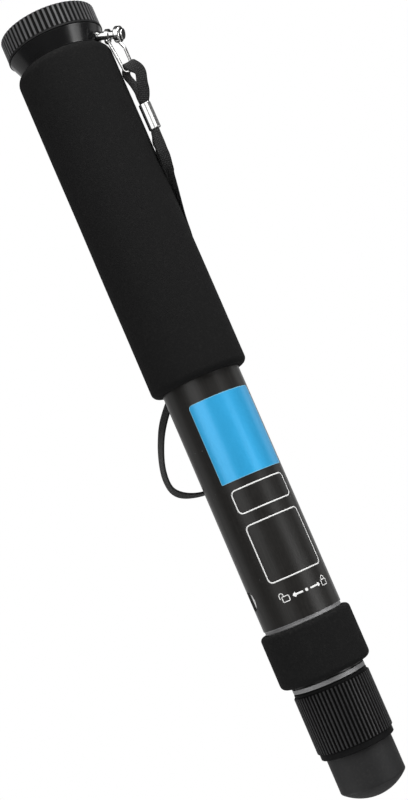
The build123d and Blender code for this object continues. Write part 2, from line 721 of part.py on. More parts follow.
# Each inner lock: the number of the tube that it holds, that tube, the bore around it and its heights
inner_locks = [
    (4, tube_4_radius, tube_4_bore, tube_3_bore, tube_4_top, expander_4_top),
    (5, tube_5_radius, tube_5_bore, tube_4_bore, tube_5_top, expander_5_top),
    (6, tube_6_radius, tube_6_bore, tube_5_bore, tube_6_top, expander_6_top),
]
for number, tube_radius, tube_bore, outer_bore, tube_top, expander_top in inner_locks:
    nodes[f"section_{number}_cam"] = cam(tube_radius, tube_bore, outer_bore, tube_top, expander_top)
    nodes[f"section_{number}_cone"] = cone_nut(outer_bore, expander_top)
    nodes[f"section_{number}_expander"] = expander(outer_bore, expander_top)

# How far each tube comes out before its guide or expander meets the stop below it
travels = {
    "section_2": tube_2_top - guide_length - (tube_1_bottom + ferrule_1_spigot_length),
    "section_3": tube_3_top - guide_length - (tube_2_bottom + ferrule_2_spigot_length),
    "section_4": expander_4_top - expander_length - (tube_3_bottom + bush_length),
    "section_5": expander_5_top - expander_length - (tube_4_bottom + bush_length),
    "section_6": expander_6_top - expander_length - (tube_5_bottom + bush_length),
}
for name, travel in travels.items():
    print(name, "travel", round(travel - stop_margin, 2))
print("post foot", post_foot, "post axis", post_axis, "tilt", round(degrees(post_tilt), 2))

os.makedirs("parts", exist_ok=True)
for name, shape in nodes.items():
    export_step(shape, f"parts/{name}.step")
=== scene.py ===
# %% [markdown]
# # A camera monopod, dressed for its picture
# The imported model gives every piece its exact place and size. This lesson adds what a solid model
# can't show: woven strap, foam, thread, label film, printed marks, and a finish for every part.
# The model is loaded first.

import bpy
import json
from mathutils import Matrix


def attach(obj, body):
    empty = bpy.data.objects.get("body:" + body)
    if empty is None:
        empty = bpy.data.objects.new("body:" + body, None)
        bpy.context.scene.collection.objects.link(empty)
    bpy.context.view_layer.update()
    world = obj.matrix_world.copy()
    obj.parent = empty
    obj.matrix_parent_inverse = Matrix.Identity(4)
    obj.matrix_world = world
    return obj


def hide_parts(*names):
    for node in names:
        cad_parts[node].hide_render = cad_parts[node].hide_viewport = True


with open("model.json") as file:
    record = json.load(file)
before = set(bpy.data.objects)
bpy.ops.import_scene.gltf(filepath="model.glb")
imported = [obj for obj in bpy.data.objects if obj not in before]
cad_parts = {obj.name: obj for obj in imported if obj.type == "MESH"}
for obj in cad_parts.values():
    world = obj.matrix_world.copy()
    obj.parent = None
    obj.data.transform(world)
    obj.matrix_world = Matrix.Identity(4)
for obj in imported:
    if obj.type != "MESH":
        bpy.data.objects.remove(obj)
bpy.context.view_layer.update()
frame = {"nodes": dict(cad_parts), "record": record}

import json
import math

import bmesh
import bpy
from mathutils import Matrix, Vector, noise

MM = 0.001
OUTWARD = Vector((0.95106, -0.30902, 0.0))    # out from the axis in the plane of the wire bail
ACROSS = Vector((0.30902, 0.95106, 0.0))      # square to it, towards the back
nodes = frame["nodes"]
bpy.context.scene.view_settings.view_transform = "Standard"

# %% [markdown]
# ## Camera
# The picture was taken from the monopod's own height, a little from below, with the camera rolled
# so that the pole runs across the frame. Place, turn and lens were solved from the edges of the
# rings and tubes, so they are plain numbers here. The sensor's 36 mm lie on the frame's long side.

# %% Place the camera
CAMERA_PLACE = Vector((0.0, -0.61508, -0.24969))
PITCH, PAN, ROLL = 0.105023, -0.00296, -0.408211

lens = bpy.data.cameras.new("photo_camera")
lens.lens = 63.4215
lens.sensor_width = 36.0
lens.sensor_fit = "AUTO"
level_share = math.cos(PITCH)
forward = Vector((math.sin(PAN) * level_share, math.cos(PAN) * level_share, math.sin(PITCH)))
level = Vector((math.cos(PAN), -math.sin(PAN), 0.0))
upright = level.cross(forward)
right = math.cos(ROLL) * level + math.sin(ROLL) * upright
up = math.cos(ROLL) * upright - math.sin(ROLL) * level
camera = bpy.data.objects.new("photo_camera", lens)
turn = Matrix((right, up, -forward)).transposed()
camera.matrix_world = Matrix.Translation(CAMERA_PLACE) @ turn.to_4x4()
bpy.context.scene.collection.objects.link(camera)
bpy.context.scene.camera = camera
print("camera at", tuple(CAMERA_PLACE), "lens", lens.lens)

# %% [markdown]
# ## Small helpers for meshes
# Three kinds of mesh are needed by hand: one from a list of points, one turned about the pole's
# axis like work on a lathe, and, further down, a flat strap. Solid ones are closed, with every face
# turned outwards, because a baked model shows every hole and every face that points inwards.

# %% Mesh from points and faces
def mesh_piece(name, points, faces, edges=()):
    """A new object at the origin from points in metres."""
    mesh = bpy.data.meshes.new(name)
    mesh.from_pydata([tuple(p) for p in points], list(edges), faces)
    piece = bpy.data.objects.new(name, mesh)
    bpy.context.scene.collection.objects.link(piece)
    return piece


def face_outwards(piece):
    """Merges doubled points and turns every face out, with smooth shading."""
    work = bmesh.new()
    work.from_mesh(piece.data)
    bmesh.ops.remove_doubles(work, verts=work.verts, dist=1e-7)
    bmesh.ops.recalc_face_normals(work, faces=work.faces)
    for face in work.faces:
        face.smooth = True
    work.to_mesh(piece.data)
    work.free()
    return piece


print("mesh helpers ready")

# %% Lathe
def arc(centre_radius, centre_height, radius, start, end, steps=8):
    """Points of an arc in the (radius, height) plane, in millimetres and degrees."""
    angles = [math.radians(start + (end - start) * i / steps) for i in range(steps + 1)]
    return [(centre_radius + radius * math.cos(angle), centre_height + radius * math.sin(angle))
            for angle in angles]


def straight(start, end, steps):
    """Points along a straight line, without its ends."""
    return [(start[0] + (end[0] - start[0]) * i / steps, start[1] + (end[1] - start[1]) * i / steps)
            for i in range(1, steps)]


def turned_piece(name, profile, finish, segments=96, swell=None):
    """A closed profile in millimetres turned about the axis. Doubled points there are merged."""
    count = len(profile)
    points, faces = [], []
    for k in range(segments):
        angle = 2 * math.pi * k / segments
        for radius, height in profile:
            if swell and radius > 0:
                radius += swell(angle, radius, height)
            spot = Vector((radius * math.sin(angle), -radius * math.cos(angle), height))
            points.append(spot * MM)
        a, b = k * count, (k + 1) % segments * count
        for i in range(count):
            j = (i + 1) % count
            if profile[i][0] or profile[j][0]:
                faces.append((a + i, a + j, b + j, b + i))
    piece = mesh_piece(name, points, faces)
    piece.data.materials.append(finishes[finish])
    return face_outwards(piece)


print("lathe ready")

# %% [markdown]
# ## Shared effects
# Finishes repeat the same few effects, so each effect is built once as a node group that gives a
# mask or a height, and every material places it with its own sizes. Shaders stay in the materials.

# %% Node helpers
FLOAT, VECTOR = "NodeSocketFloat", "NodeSocketVector"
GEOMETRY, MATERIAL = "NodeSocketGeometry", "NodeSocketMaterial"
NUMBERS = {float: FLOAT, int: "NodeSocketInt"}


def place_node(tree, kind, inputs=None, **settings):
    """Adds a node. An input that is a socket is linked, and any other is set."""
    node = tree.nodes.new(kind)
    for name, value in settings.items():
        setattr(node, name, value)
    for key, value in (inputs or {}).items():
        if isinstance(value, bpy.types.NodeSocket):
            tree.links.new(value, node.inputs[key])
        else:
            node.inputs[key].default_value = value
    return node


def maths(tree, operation, *values):
    """A Math node's result."""
    node = place_node(tree, "ShaderNodeMath", dict(enumerate(values)), operation=operation)
    return node.outputs[0]


def times(tree, first, second):
    """The product of two values."""
    return maths(tree, "MULTIPLY", first, second)


def remap(tree, value, low, high, to_low=0.0, to_high=1.0, **settings):
    """A value moved from one range to another."""
    return place_node(tree, "ShaderNodeMapRange", {
        "Value": value, "From Min": low, "From Max": high, "To Min": to_low, "To Max": to_high},
        **settings).outputs[0]


def noise_at(tree, place, scale, detail):
    """The value of a noise texture."""
    return place_node(tree, "ShaderNodeTexNoise", {
        "Vector": place, "Scale": scale, "Detail": detail}).outputs["Fac"]


def split(tree, vector):
    """A vector's three numbers."""
    return place_node(tree, "ShaderNodeSeparateXYZ", {0: vector}).outputs


def joined(tree, **numbers):
    """A vector from its numbers."""
    return place_node(tree, "ShaderNodeCombineXYZ", numbers).outputs[0]


def new_group(name, inputs, outputs, kind="ShaderNodeTree"):
    """An empty node group, its inputs and its outputs. An input has a first number or a type."""
    group = bpy.data.node_groups.new(name, kind)
    for title, value in inputs.items():
        socket_type = NUMBERS.get(type(value), value)
        socket = group.interface.new_socket(title, in_out="INPUT", socket_type=socket_type)
        if socket_type != value:
            socket.default_value = value
    for title, socket_type in outputs.items():
        group.interface.new_socket(title, in_out="OUTPUT", socket_type=socket_type)
    given, result = group.nodes.new("NodeGroupInput"), group.nodes.new("NodeGroupOutput")
    return group, given.outputs, result.inputs


print("node helpers ready")

# %% [markdown]
# Fine grain is on almost everything: pores of foam, skin of rubber, bead blast under anodising.
# Two layers of noise, one fourteen times coarser, keep it from looking like an even print.

# %% Grain
grain, given, result = new_group("fine_grain", {"Place": VECTOR, "Grain Size": 0.0005},
                                 {"Fine": FLOAT, "Broad": FLOAT})
per_grain = maths(grain, "DIVIDE", 1.0, given["Grain Size"])
per_broad = times(grain, per_grain, 0.07)
grain.links.new(noise_at(grain, given["Place"], per_grain, 2.0), result["Fine"])
grain.links.new(noise_at(grain, given["Place"], per_broad, 3.0), result["Broad"])
print("group", grain.name)

# %% [markdown]
# Drawn tube carries faint lines along its length, and a turned ring carries them round its axis.
# One group gives both: it stretches the noise along the pole, or reads it by radius and height.

# %% Tool lines
tool_lines, given, result = new_group("tool_lines", {"Place": VECTOR, "Line Width": 0.0002},
                                      {"Along": FLOAT, "Around": FLOAT})
x, y, z = split(tool_lines, given["Place"])
per_line = maths(tool_lines, "DIVIDE", 1.0, given["Line Width"])
stretched = times(tool_lines, z, 0.01)
from_axis = maths(tool_lines, "SQRT", maths(
    tool_lines, "ADD", times(tool_lines, x, x), times(tool_lines, y, y)))
for title, spot in (("Along", joined(tool_lines, X=x, Y=y, Z=stretched)),
                    ("Around", joined(tool_lines, X=from_axis, Y=z))):
    tool_lines.links.new(noise_at(tool_lines, spot, per_line, 2.0), result[title])
print("group", tool_lines.name)

# %% [markdown]
# Hard edges lose their colour first. The edges that hands and tubes rub are level rings, so a
# band of worn mask round one height, broken up by noise, is enough and bakes cleanly.

# %% Edge wear
edge_wear, given, result = new_group(
    "edge_wear", {"Place": VECTOR, "Edge Height": 0.0, "Width": 0.0004}, {"Mask": FLOAT})
away = maths(edge_wear, "ABSOLUTE", maths(
    edge_wear, "SUBTRACT", split(edge_wear, given["Place"])["Z"], given["Edge Height"]))
patches = noise_at(edge_wear, given["Place"], 420.0, 4.0)
worn_width = times(edge_wear, given["Width"],
                   maths(edge_wear, "MULTIPLY_ADD", patches, 3.0, -0.7))
edge_wear.links.new(remap(edge_wear, away, worn_width, 0.0), result["Mask"])
print("group", edge_wear.name)

# %% [markdown]
# Ribs are polished by fingers on their crests, which makes them glossier. Their colour is painted
# light: painted shade in the grooves and a painted sheen on the crests. Both follow from how far a
# point is from the pole's axis, so one mask between groove and crest serves wheel and knob.

# %% Rib crests
rib_crest, given, result = new_group(
    "rib_crest", {"Place": VECTOR, "Groove Radius": 0.021, "Crest Radius": 0.022}, {"Mask": FLOAT})
level_spot = place_node(rib_crest, "ShaderNodeVectorMath", {0: given["Place"], 1: (1.0, 1.0, 0.0)},
                        operation="MULTIPLY").outputs[0]
from_axis = place_node(rib_crest, "ShaderNodeVectorMath", {0: level_spot}, operation="LENGTH")
rib_crest.links.new(remap(rib_crest, from_axis.outputs["Value"], given["Groove Radius"],
                          given["Crest Radius"], interpolation_type="SMOOTHSTEP"), result["Mask"])
print("group", rib_crest.name)

# %% [markdown]
# A little dust settles on faces that look up and in the pores of soft parts. The mask is the
# upward part of the surface's own direction, mottled by noise.

# %% Dust
settled_dust, given, result = new_group(
    "settled_dust", {"Place": VECTOR, "Amount": 0.3}, {"Mask": FLOAT})
normal = place_node(settled_dust, "ShaderNodeNewGeometry").outputs["Normal"]
level_part = remap(settled_dust, split(settled_dust, normal)["Z"], -0.2, 1.0, 0.12)
fleck = remap(settled_dust, noise_at(settled_dust, given["Place"], 900.0, 5.0), 0.5, 0.75)
mottled = times(settled_dust, level_part, fleck)
settled_dust.links.new(times(settled_dust, given["Amount"], mottled), result["Mask"])
print("group", settled_dust.name)

# %% [markdown]
# The strap is a narrow tape of round yarn. Its weave follows the tape wherever it twists, so the
# group reads the strap's own UV map, in metres along and across, and gives the height of crossing
# yarns: rows that go over and under in turn, as on plain tape.

# %% Weave
tape_weave, given, result = new_group(
    "tape_weave", {"Place": VECTOR, "Pick": 0.0009, "End": 0.0008}, {"Height": FLOAT, "Gap": FLOAT})
spot = split(tape_weave, given["Place"])
along, across = [
    maths(tape_weave, "SINE", times(tape_weave, maths(
        tape_weave, "DIVIDE", spot[way], given[pitch]), math.pi))
    for way, pitch in (("X", "Pick"), ("Y", "End"))]
over = times(tape_weave, along, across)
height = maths(tape_weave, "ABSOLUTE", over)
ridge = maths(tape_weave, "MULTIPLY_ADD", maths(tape_weave, "SIGN", over), 0.12, height)
tape_weave.links.new(ridge, result["Height"])
tape_weave.links.new(remap(tape_weave, height, 0.0, 0.35, 1.0, 0.0), result["Gap"])
print("group", tape_weave.name)

# %% [markdown]
# ## Finishes
# Every finish starts the same way: a Principled shader, the object's own coordinates, the grain,
# and a colour that shifts a little with it. What makes each one itself is added on top of that.

# %% Start of a finish
class Finish:
    """A material with its grain, its dust and a bump that further layers add to. A colour is red,
    green and blue, or one level of grey."""

    def __init__(self, name, dark, light, rough, grain_size, grain_depth, metallic=0.0,
                 specular=0.5, rough_spread=0.08, dust=0.0):
        self.name = name
        self.material = bpy.data.materials.new(name + "_finish")
        self.material.use_nodes = True
        self.tree = self.material.node_tree
        self.shader = self.tree.nodes["Principled BSDF"].inputs
        self.place = place_node(self.tree, "ShaderNodeTexCoord").outputs["Object"]
        grains = self.group(grain, {"Grain Size": grain_size * MM})
        self.colour = self.mix(grains["Broad"], dark, light)
        self.rough = maths(self.tree, "MULTIPLY_ADD", grains["Broad"], 2 * rough_spread,
                           rough - rough_spread)
        self.heights = [(grains["Fine"], grain_depth)]
        self.shader["Metallic"].default_value = metallic
        self.shader["Specular IOR Level"].default_value = specular
        if dust:
            mask = self.group(settled_dust, {"Amount": dust})["Mask"]
            self.colour = self.mix(mask, self.colour, (0.42, 0.40, 0.37))
            self.rough = maths(self.tree, "MAXIMUM", self.rough, mask)

    def group(self, tree, inputs):
        """What a shared group gives at this material's own place."""
        return place_node(self.tree, "ShaderNodeGroup", {"Place": self.place, **inputs},
                          node_tree=tree).outputs

    def mix(self, factor, first, second):
        """A mix of two colours."""
        inputs = {0: factor}
        for index, value in ((6, first), (7, second)):
            if isinstance(value, float):
                value = (value,) * 3
            inputs[index] = (*value, 1.0) if isinstance(value, tuple) else value
        return place_node(self.tree, "ShaderNodeMix", inputs, data_type="RGBA").outputs[2]

    def remap(self, *values):
        return remap(self.tree, *values)

    def tooled(self, way, line_width, depth):
        """A bump of fine lines along the pole or around it, in millimetres. Gives the lines."""
        lines = self.group(tool_lines, {"Line Width": line_width * MM})[way]
        self.heights.append((lines, depth))
        return lines

    def wear(self, edge_heights, width, colour, rough):
        """Bare metal or polished plastic along level edges, with heights in millimetres."""
        for edge in edge_heights:
            mask = self.group(edge_wear, {"Edge Height": edge * MM, "Width": width * MM})["Mask"]
            self.colour = self.mix(mask, self.colour, colour)
            self.rough = maths(self.tree, "MULTIPLY_ADD", mask, rough, self.rough)

    def crests(self, groove_radius, crest_radius, groove_shade, crest_sheen, lowest=-1000.0):
        """Painted shade in the grooves of ribs and a painted sheen on their crests, which are also
        glossier, in millimetres. Both fade below the given lowest height."""
        mask = self.group(rib_crest, {"Groove Radius": groove_radius * MM,
                                      "Crest Radius": crest_radius * MM})["Mask"]
        height = split(self.tree, self.place)["Z"]
        above_lowest = self.remap(height, lowest * MM, (lowest + 0.4) * MM, 0.15)
        mask = times(self.tree, mask, above_lowest)
        # The colour here is painted light: painted shade in the grooves, a painted sheen on the
        # crests.
        self.colour = self.mix(0.75, self.colour, self.mix(mask, groove_shade, crest_sheen))
        self.rough = maths(self.tree, "MULTIPLY_ADD", mask, -0.12, self.rough)
        gloss = self.remap(mask, 0.0, 1.0, 0.03, 0.5)
        self.tree.links.new(gloss, self.shader["Specular IOR Level"])

    def done(self):
        """Links colour, roughness and the stacked bumps, and keeps the material by name."""
        bump = {}
        for value, depth in self.heights:
            inputs = {"Height": value, "Distance": depth * MM, **bump}
            bump = {"Normal": place_node(self.tree, "ShaderNodeBump", inputs).outputs["Normal"]}
        for title, value in (("Base Color", self.colour), ("Roughness", self.rough), *bump.items()):
            self.tree.links.new(value, self.shader[title])
        finishes[self.name] = self.material


finishes = {}
print("finish helper ready")

# %% [markdown]
# The soft and moulded blacks come first. Foam is the darkest and has no gloss. The wheel is a
# charcoal plastic, the knob and foot are rubber, and the tape is woven nylon with darker edges.

# %% Foam, rubber and plastic
foam = Finish("grip_foam", (0.0062, 0.0062, 0.0063), (0.0100, 0.0100, 0.0101), 0.92, 0.32, 0.10,
              specular=0.15, dust=0.04)
pores = place_node(foam.tree, "ShaderNodeTexVoronoi", {"Vector": foam.place, "Scale": 1900.0})
pore_depth = pores.outputs["Distance"]
foam.heights.append((foam.remap(pore_depth, 0.0, 0.55), 0.09))
# The pits of the pores are painted darker, as painted shade.
foam.colour = foam.mix(foam.remap(pore_depth, 0.0, 0.28, 0.45, 0.0), foam.colour, 0.004)
foam.done()

wheel = Finish("wheel_plastic", (0.012, 0.012, 0.013), (0.020, 0.020, 0.021), 0.50, 0.14, 0.03,
               specular=0.4, dust=0.06)
# Painted shade in the rib grooves and a painted sheen on the rib crests.
wheel.crests(22.05, 22.42, 0.0065, (0.098, 0.098, 0.101), -10.6)
wheel.wear((-0.8,), 0.14, 0.08, -0.15)
wheel.done()

knob = Finish("knob_rubber", 0.0065, 0.011, 0.62, 0.18, 0.03, specular=0.32, dust=0.04)
# Painted shade in the rib grooves and a painted sheen on the rib crests.
knob.crests(16.90, 17.30, 0.002, (0.018, 0.018, 0.019))
knob.done()

foot = Finish("foot_rubber", (0.012, 0.012, 0.0125), (0.018, 0.018, 0.0185), 0.60, 0.25, 0.03,
              specular=0.3, dust=0.06)
foot.wear((-369.0,), 2.2, (0.045, 0.044, 0.042), 0.10)
foot.done()

Finish("pad_rubber", 0.013, 0.021, 0.72, 0.22, 0.04, specular=0.3, dust=0.12).done()

inner = Finish("inner_plastic", (0.016, 0.016, 0.017), (0.026, 0.026, 0.027), 0.42, 0.20, 0.012,
               specular=0.45)
inner.tooled("Around", 0.4, 0.012)
inner.done()
print("finishes", sorted(finishes))

# %% [markdown]
# Tape: the weave reads the strap's UV map. Its gaps get painted shade and the tops of its yarns a
# painted sheen. The selvedges, where the yarn turns back, look darker.

# %% Woven tape
tape = Finish("strap_webbing", 0.017, 0.030, 0.86, 0.10, 0.02, specular=0.25)
tape_uv = place_node(tape.tree, "ShaderNodeUVMap", uv_map="tape").outputs["UV"]
weave = tape.group(tape_weave, {"Place": tape_uv, "Pick": 0.0009, "End": 0.00075})
selvedge = place_node(tape.tree, "ShaderNodeAttribute", attribute_name="selvedge").outputs["Fac"]
# Painted shade in the gaps between yarns, a painted sheen on their tops, and darker selvedges.
for mask, colour in ((tape.remap(weave["Gap"], 0.0, 1.0, 0.0, 0.75), 0.006),
                     (tape.remap(weave["Height"], 0.75, 1.1, 0.0, 0.55), (0.105, 0.105, 0.103)),
                     (tape.remap(selvedge, 0.80, 0.95, 0.0, 0.7), 0.004)):
    tape.colour = tape.mix(mask, tape.colour, colour)
tape.heights.append((weave["Height"], 0.16))
tape.shader["Sheen Weight"].default_value = 0.15
tape.done()
print("tape finish ready")

# %% [markdown]
# Metals: the tubes are black anodised aluminium with faint drawn lines and a warm cast, the rings
# are turned and left bare, the bail is chromed wire, the bush is brass, the stud plated steel.
# The film of the label is a blue metallic foil under a clear coat.

# %% Metals and film
tube = Finish("tube_black", (0.0085, 0.0078, 0.0070), (0.0130, 0.0120, 0.0108), 0.34, 0.10, 0.004,
              rough_spread=0.04)
lines = tube.tooled("Along", 0.25, 0.006)
tube.colour = tube.mix(tube.remap(lines, 0.45, 0.75, 0.0, 0.35), tube.colour, (0.034, 0.032, 0.030))
tube.wear((-287.7,), 0.22, (0.25, 0.25, 0.26), -0.05)
tube.done()

sliding = Finish("sliding_tube", (0.013, 0.0128, 0.0125), (0.019, 0.0185, 0.018), 0.33, 0.10, 0.004,
                 specular=0.55, rough_spread=0.05)
lines = sliding.tooled("Along", 0.4, 0.006)
sliding.colour = sliding.mix(sliding.remap(lines, 0.60, 0.82, 0.0, 0.6), sliding.colour,
                             (0.075, 0.073, 0.070))
sliding.done()

neck = Finish("neck_black", (0.0045, 0.0045, 0.005), (0.0070, 0.0070, 0.0075), 0.22, 0.12, 0.004,
              rough_spread=0.03)
neck.tooled("Around", 0.3, 0.005)
neck.wear((-11.75, -18.75), 0.12, 0.06, -0.08)
neck.done()

BARE_METALLIC = 0.85
bare = Finish("ring_aluminium", (0.34, 0.34, 0.345), (0.44, 0.44, 0.445), 0.58, 0.15, 0.006,
              metallic=BARE_METALLIC, rough_spread=0.05)
bare.tooled("Around", 0.18, 0.02)
# Above this height the ferrule is the sleeve in the tube, seen through the tube's hole. It is
# painted near white and almost without metal, as a painted highlight.
SLEEVE_START, SLEEVE_END = -0.2880, -0.2876
sleeve_highlight = bare.remap(split(bare.tree, bare.place)["Z"], SLEEVE_START, SLEEVE_END)
bare.colour = bare.mix(sleeve_highlight, bare.colour, 0.85)
bare.tree.links.new(bare.remap(sleeve_highlight, 0.0, 1.0, BARE_METALLIC, 0.10), bare.shader["Metallic"])
bare.done()

# What real chrome mirrors is painted: dark cards at its edges, black foam at the clamp's side.
CLAMP_SIDE, CLAMP_START = (0.0265, 0.0261), (-0.0520, -0.0525)
chrome = Finish("bright_chrome", (0.76, 0.76, 0.75), (0.84, 0.84, 0.83), 0.16, 0.30, 0.0,
                metallic=1.0, rough_spread=0.03)
outwards = place_node(chrome.tree, "ShaderNodeVectorMath", {0: chrome.place, 1: OUTWARD},
                      operation="DOT_PRODUCT").outputs["Value"]
inner_side = chrome.remap(outwards, *CLAMP_SIDE)
on_clamp = chrome.remap(split(chrome.tree, chrome.place)["Z"], *CLAMP_START)
facing = place_node(chrome.tree, "ShaderNodeLayerWeight", {"Blend": 0.5}).outputs["Facing"]
dark = maths(chrome.tree, "MAXIMUM", times(chrome.tree, inner_side, on_clamp),
             chrome.remap(facing, 0.40, 0.66))
chrome.colour = chrome.mix(dark, chrome.colour, (0.035, 0.035, 0.036))
chrome.done()

brass = Finish("bush_brass", (0.55, 0.36, 0.13), (0.70, 0.48, 0.19), 0.34, 0.20, 0.006,
               metallic=1.0)
brass.tooled("Around", 0.2, 0.02)
brass.done()

Finish("stud_steel", (0.46, 0.46, 0.47), (0.60, 0.60, 0.61), 0.30, 0.15, 0.005, metallic=1.0).done()

film = Finish("label_blue", (0.022, 0.45, 0.88), (0.036, 0.50, 0.94), 0.40, 0.08, 0.004,
              metallic=0.45, rough_spread=0.03)
film.shader["Coat Weight"].default_value = 0.9
film.shader["Coat Roughness"].default_value = 0.25
film.done()

Finish("label_edge", (0.16, 0.46, 0.66), (0.22, 0.54, 0.74), 0.35, 0.08, 0.004).done()
Finish("white_ink", (0.90, 0.90, 0.89), (0.95, 0.95, 0.94), 0.55, 0.10, 0.006).done()
print("finishes", len(finishes))

# %% [markdown]
# ## Finishes on the model's own pieces
# The record names a material slot for each node. The tubes that slide get their own finish, with
# rub lines along them. Only the slots change, never the shapes.

# %% Give every node its finish
for row in frame["record"]["subparts"]:
    name = row["node"]
    finish = finishes[row["material_slot"]]
    if name.startswith("section_") and name.endswith("_tube") and name != "section_1_tube":
        finish = finishes["sliding_tube"]
    piece = nodes[name]
    if not piece.material_slots:
        piece.data.materials.append(finish)
    for material_slot in piece.material_slots:
        material_slot.material = finish

# %% [markdown]
# ## Wrist strap
# The strap is one flat woven tape: it folds through the wire bail, both strands go into a clamp,
# and the rest makes a long loop that hangs behind the tube and shows again at the left. The path is
# a smooth NURBS line, with control points set near the model's own. Each has the way that
# the tape's width points there, because a tape lies flat on what it touches and twists in between.

# %% Smooth path of a strap
def strap_point(reach, across, height):
    """A point in the bail's plane, out from the axis, then sideways to the back, in millimetres."""
    return OUTWARD * reach + ACROSS * across + Vector((0.0, 0.0, height))


def smooth_path(name, points, resolution):
    """Points in metres along a NURBS line that has the given control points in millimetres."""
    curve = bpy.data.curves.new(name, "CURVE")
    curve.dimensions = "3D"
    curve.resolution_u = resolution
    spline = curve.splines.new("NURBS")
    spline.points.add(len(points) - 1)
    for spot, place in zip(spline.points, points):
        spot.co = (*(Vector(place) * MM), 1.0)
    spline.order_u = 3
    spline.use_endpoint_u = True
    holder = bpy.data.objects.new(name, curve)
    bpy.context.scene.collection.objects.link(holder)
    bpy.context.view_layer.update()
    traced = bpy.data.meshes.new_from_object(holder)
    path = [vertex.co.copy() for vertex in traced.vertices]
    bpy.data.objects.remove(holder)
    bpy.data.meshes.remove(traced)
    return path


def along_path(values, count):
    """Values given at the control points, read at evenly spaced steps of the NURBS line."""
    last = len(values) - 1
    stops = [0.0] + [i - 0.5 for i in range(1, last)] + [last - 1.0]
    found = []
    for k in range(count):
        t = (last - 1.0) * k / (count - 1)
        i = max(j for j in range(last) if stops[j] <= t + 1e-9)
        share = min(1.0, (t - stops[i]) / (stops[i + 1] - stops[i]))
        share = share * share * (3 - 2 * share)
        found.append(values[i] * (1 - share) + values[i + 1] * share)
    return found


print("path helpers ready")

# %% Flat tape along a path
TAPE_SIDES = 28


def tape_section(width, thickness):
    """A flat section with rounded, slightly beaded edges, in metres."""
    found = []
    for k in range(TAPE_SIDES):
        angle = 2 * math.pi * k / TAPE_SIDES
        c, s = math.cos(angle), math.sin(angle)
        x = math.copysign(abs(c) ** 0.5, c) * width / 2
        y = math.copysign(abs(s) ** 0.5, s) * thickness / 2
        bead = 1.0 + 0.22 * math.exp(-((abs(x) / (width / 2) - 0.86) / 0.10) ** 2)
        found.append((x, y * bead))
    return found


def tape_piece(name, path, ways, widths, thicknesses):
    """A closed tape with a UV map in metres along and across, and a mask for its selvedges. Its
    ways, widths and thicknesses are given at the control points. Gives the piece and its length."""
    count = len(path)
    ways, widths, thicknesses = [along_path(row, count) for row in (ways, widths, thicknesses)]
    points, sections, lengths = [], [], [0.0]
    for a, b in zip(path, path[1:]):
        lengths.append(lengths[-1] + (b - a).length)
    for k in range(count):
        tangent = (path[min(k + 1, count - 1)] - path[max(k - 1, 0)]).normalized()
        side = (ways[k] - tangent * ways[k].dot(tangent)).normalized()
        flat = tangent.cross(side)
        sections.append(tape_section(widths[k] * MM, thicknesses[k] * MM))
        points += [path[k] + side * x + flat * y for x, y in sections[k]]
    rounds = [range(k * TAPE_SIDES, (k + 1) * TAPE_SIDES) for k in range(count)]
    faces = [(a[i], a[i + 1 - TAPE_SIDES], b[i + 1 - TAPE_SIDES], b[i])
             for a, b in zip(rounds, rounds[1:]) for i in range(TAPE_SIDES)]
    faces += [tuple(rounds[0]), tuple(reversed(rounds[-1]))]
    piece = mesh_piece(name, points, faces)
    layer = piece.data.uv_layers.new(name="tape")
    for corner in piece.data.loops:
        k, i = divmod(corner.vertex_index, TAPE_SIDES)
        layer.data[corner.index].uv = (lengths[k], sections[k][i][0])
    edge = piece.data.attributes.new("selvedge", "FLOAT", "POINT")
    shares = [abs(x) / (width * MM / 2)
              for width, section in zip(widths, sections) for x, _ in section]
    edge.data.foreach_set("value", shares)
    face_outwards(piece)
    for face in piece.data.polygons:
        face.use_smooth = len(face.vertices) == 4
    piece.data.materials.append(finishes["strap_webbing"])
    return piece, lengths[-1]


print("tape helper ready")

# %% The fold through the bail
CRIMP_TOP, CRIMP_BOTTOM, CRIMP_REACH = -54.1, -66.7, 27.336
TAPE_WIDTH, TAPE_THICKNESS = 5.0, 0.95
fold_rows = [
    (strap_point(CRIMP_REACH, 0.55, CRIMP_TOP), (1.0, 0.0), 4.4, 0.95),
    (strap_point(26.9, 1.0, -51.2), (0.95, 0.3), 4.3, 0.95),
    (strap_point(26.8, 2.0, -47.7), (0.75, 0.66), 4.3, 0.95),
    (strap_point(25.5, 2.9, -42.4), (0.6, 0.8), 4.4, 0.95),
    (strap_point(23.9, 2.8, -37.8), (0.6, 0.8), 4.2, 1.0),
    (strap_point(25.8, 2.4, -35.1), (0.9, 0.4), 3.6, 1.3),
    (strap_point(28.0, -1.2, -34.4), (1.0, 0.0), 4.4, 1.3),
    (strap_point(29.7, -3.0, -36.7), (1.0, 0.0), 5.8, 1.1),
    (strap_point(33.0, -3.0, -40.8), (1.0, 0.0), 5.2, 0.95),
    (strap_point(31.0, -2.7, -46.1), (1.0, 0.0), 5.2, 0.95),
    (strap_point(30.2, -1.6, -49.9), (1.0, 0.0), 5.1, 0.95),
    (strap_point(CRIMP_REACH, -0.55, CRIMP_TOP), (1.0, 0.0), 4.5, 0.95)]
places, ways, widths, thicknesses = zip(*fold_rows)
fold_path = smooth_path("fold_path", places, 14)
ways = [OUTWARD * out + ACROSS * back for out, back in ways]
fold, fold_length = tape_piece("strap_fold_tape", fold_path, ways, widths, thicknesses)
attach(fold, "strap")
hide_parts("strap_fold")
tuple(fold_path[0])
print("fold length", round(fold_length / MM, 2), "mm")

